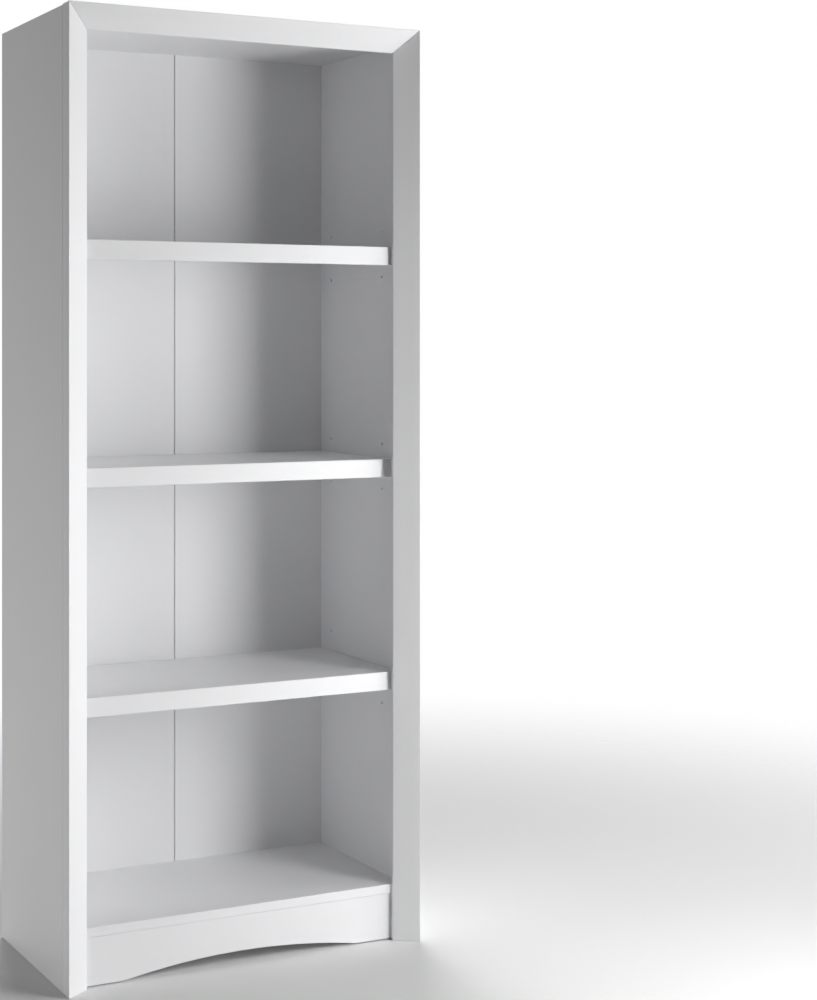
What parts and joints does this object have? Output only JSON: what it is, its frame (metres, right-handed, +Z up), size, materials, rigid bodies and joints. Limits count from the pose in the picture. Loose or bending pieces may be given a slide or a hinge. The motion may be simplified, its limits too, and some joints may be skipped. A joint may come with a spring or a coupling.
{
  "type": "bookcase",
  "caption": "Free-standing open bookcase with a mitred bevelled front frame, arched plinth, grooved two-part back and loose lipped shelves on pins.",
  "frame": {"origin": "middle of the footprint, on the floor", "axes": "+Z up, -Y towards the open front, +X towards the right-hand side seen from the front"},
  "size_m": [0.6, 0.35, 1.5],
  "materials": {
    "white_paint": "satin white lacquer on board",
    "white_hardboard": "white-faced hardboard with a raw brown rear face",
    "white_nylon": "moulded, fine grain",
    "zinc": "zinc plated",
    "nickel": "nickel plated",
    "beech": "raw turned beech, fluted"
  },
  "bodies": {
    "case": {"left_side_panel": "white_paint", "right_side_panel": "white_paint", "top_panel": "white_paint", "bottom_shelf": "white_paint", "plinth": "white_paint", "left_stile": "white_paint", "right_stile": "white_paint", "top_rail": "white_paint", "left_back_panel": "white_hardboard", "right_back_panel": "white_hardboard", "back_joiner": "white_nylon", "plinth_blocks": "white_nylon", "block_screws": "zinc", "cam_locks": "zinc", "cam_bolts": "zinc", "case_dowels": "beech", "frame_dowels": "beech", "top_screws": "zinc", "screw_caps": "white_nylon", "back_nails": "zinc"},
    "top_shelf": {"top_shelf_board": "white_paint", "top_shelf_lip": "white_paint"},
    "middle_shelf": {"middle_shelf_board": "white_paint", "middle_shelf_lip": "white_paint"},
    "lower_shelf": {"lower_shelf_board": "white_paint", "lower_shelf_lip": "white_paint"},
    "top_left_pins": {"top_left_pins": "nickel"},
    "top_right_pins": {"top_right_pins": "nickel"},
    "middle_left_pins": {"middle_left_pins": "nickel"},
    "middle_right_pins": {"middle_right_pins": "nickel"},
    "lower_left_pins": {"lower_left_pins": "nickel"},
    "lower_right_pins": {"lower_right_pins": "nickel"}
  },
  "joints": [
    {"name": "top_shelf_lift", "type": "slide", "parent": "case", "child": "top_shelf", "axis": [0, 0, 1], "range_m": [0, 0.3]},
    {"name": "middle_shelf_lift", "type": "slide", "parent": "case", "child": "middle_shelf", "axis": [0, 0, 1], "range_m": [0, 0.3]},
    {"name": "lower_shelf_lift", "type": "slide", "parent": "case", "child": "lower_shelf", "axis": [0, 0, 1], "range_m": [0, 0.3]},
    {"name": "top_left_pins_pull", "type": "slide", "parent": "case", "child": "top_left_pins", "axis": [1, 0, 0], "range_m": [0, 0.01]},
    {"name": "top_right_pins_pull", "type": "slide", "parent": "case", "child": "top_right_pins", "axis": [-1, 0, 0], "range_m": [0, 0.01]},
    {"name": "middle_left_pins_pull", "type": "slide", "parent": "case", "child": "middle_left_pins", "axis": [1, 0, 0], "range_m": [0, 0.01]},
    {"name": "middle_right_pins_pull", "type": "slide", "parent": "case", "child": "middle_right_pins", "axis": [-1, 0, 0], "range_m": [0, 0.01]},
    {"name": "lower_left_pins_pull", "type": "slide", "parent": "case", "child": "lower_left_pins", "axis": [1, 0, 0], "range_m": [0, 0.01]},
    {"name": "lower_right_pins_pull", "type": "slide", "parent": "case", "child": "lower_right_pins", "axis": [-1, 0, 0], "range_m": [0, 0.01]}
  ]
}
